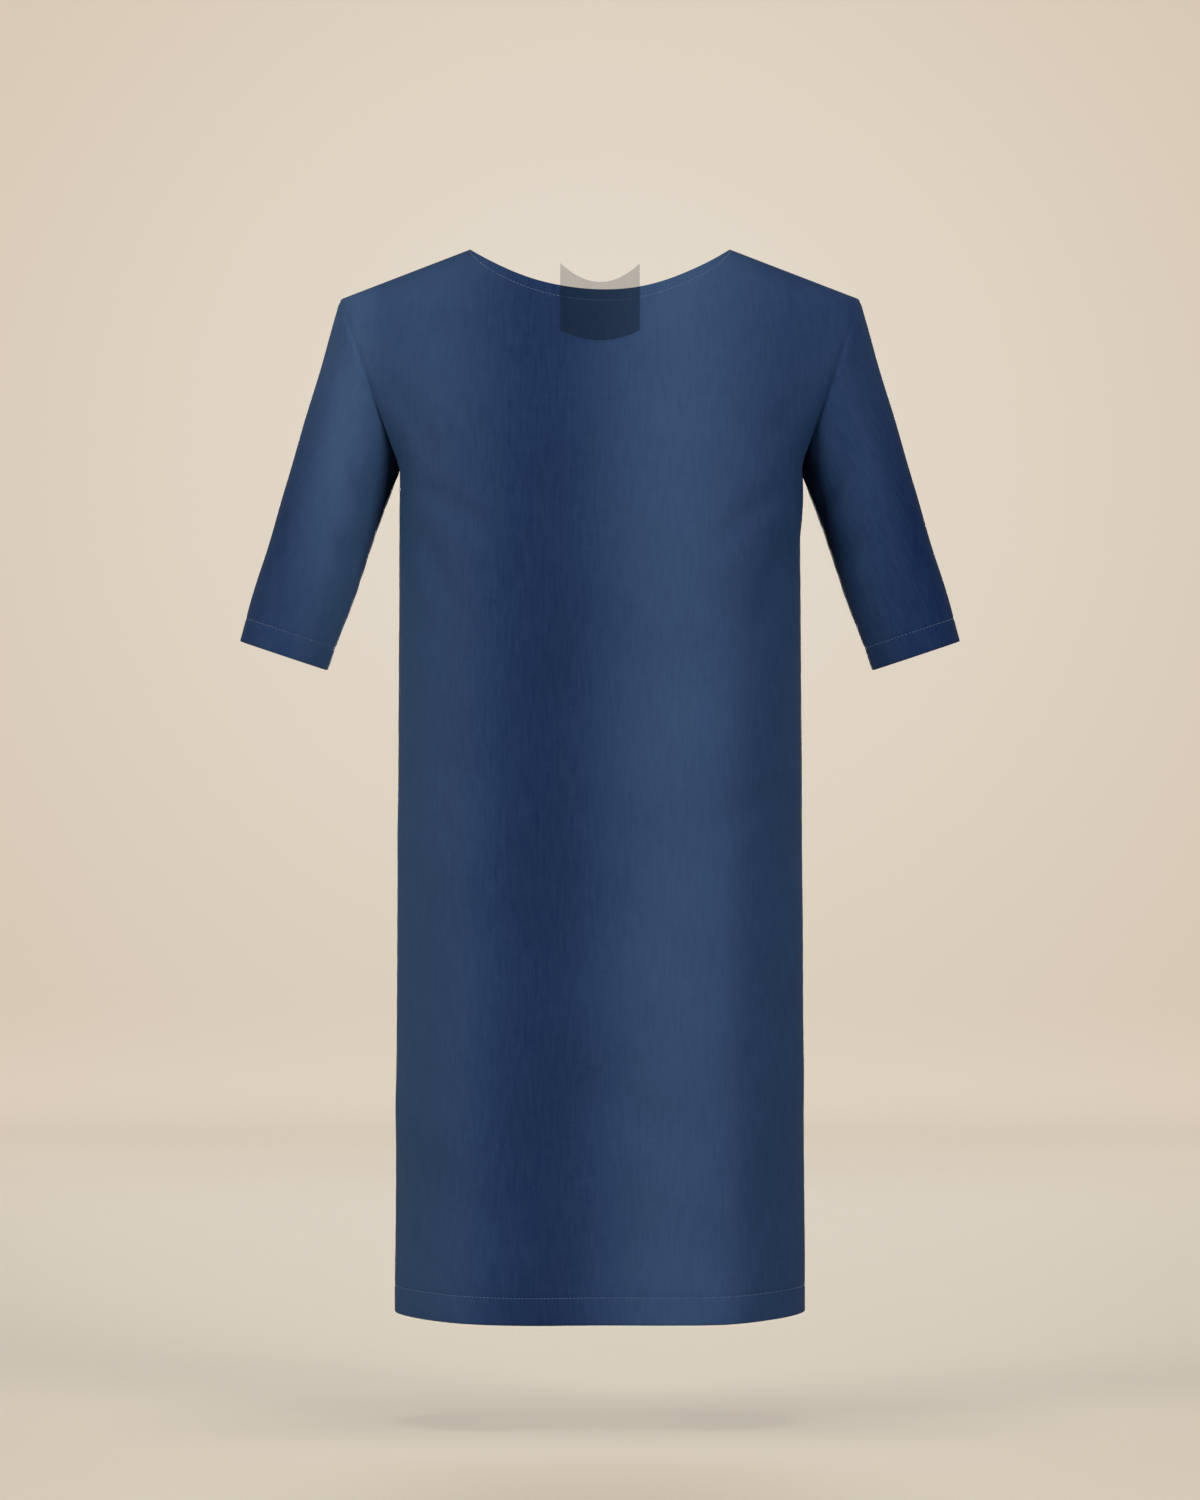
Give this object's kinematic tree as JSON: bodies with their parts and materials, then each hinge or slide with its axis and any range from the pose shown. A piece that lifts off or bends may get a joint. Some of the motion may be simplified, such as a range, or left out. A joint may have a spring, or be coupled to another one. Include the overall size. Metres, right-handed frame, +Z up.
{
  "type": "tunic top",
  "caption": "Straight knee-length tunic top, filled out and hollow, with a wide curved neckline, elbow-length set-in sleeves and a small sheer tab at the neck.",
  "frame": {"origin": "middle of the neck opening, level with the two points where the neckline meets the shoulder seams, which rest on the wearer's shoulders", "axes": "+Z up, the front faces -Y, +X towards the wearer's left"},
  "size_m": [0.612, 0.2101, 0.906],
  "materials": {
    "navy_cloth": "smooth medium-weight navy cloth with a fine weave and a soft sheen",
    "sheer_cloth": "thin see-through black cloth"
  },
  "bodies": {
    "root": {"front": "navy_cloth", "back": "navy_cloth", "sleeve_left": "navy_cloth", "sleeve_right": "navy_cloth", "neck_tab": "sheer_cloth"}
  },
  "joints": []
}
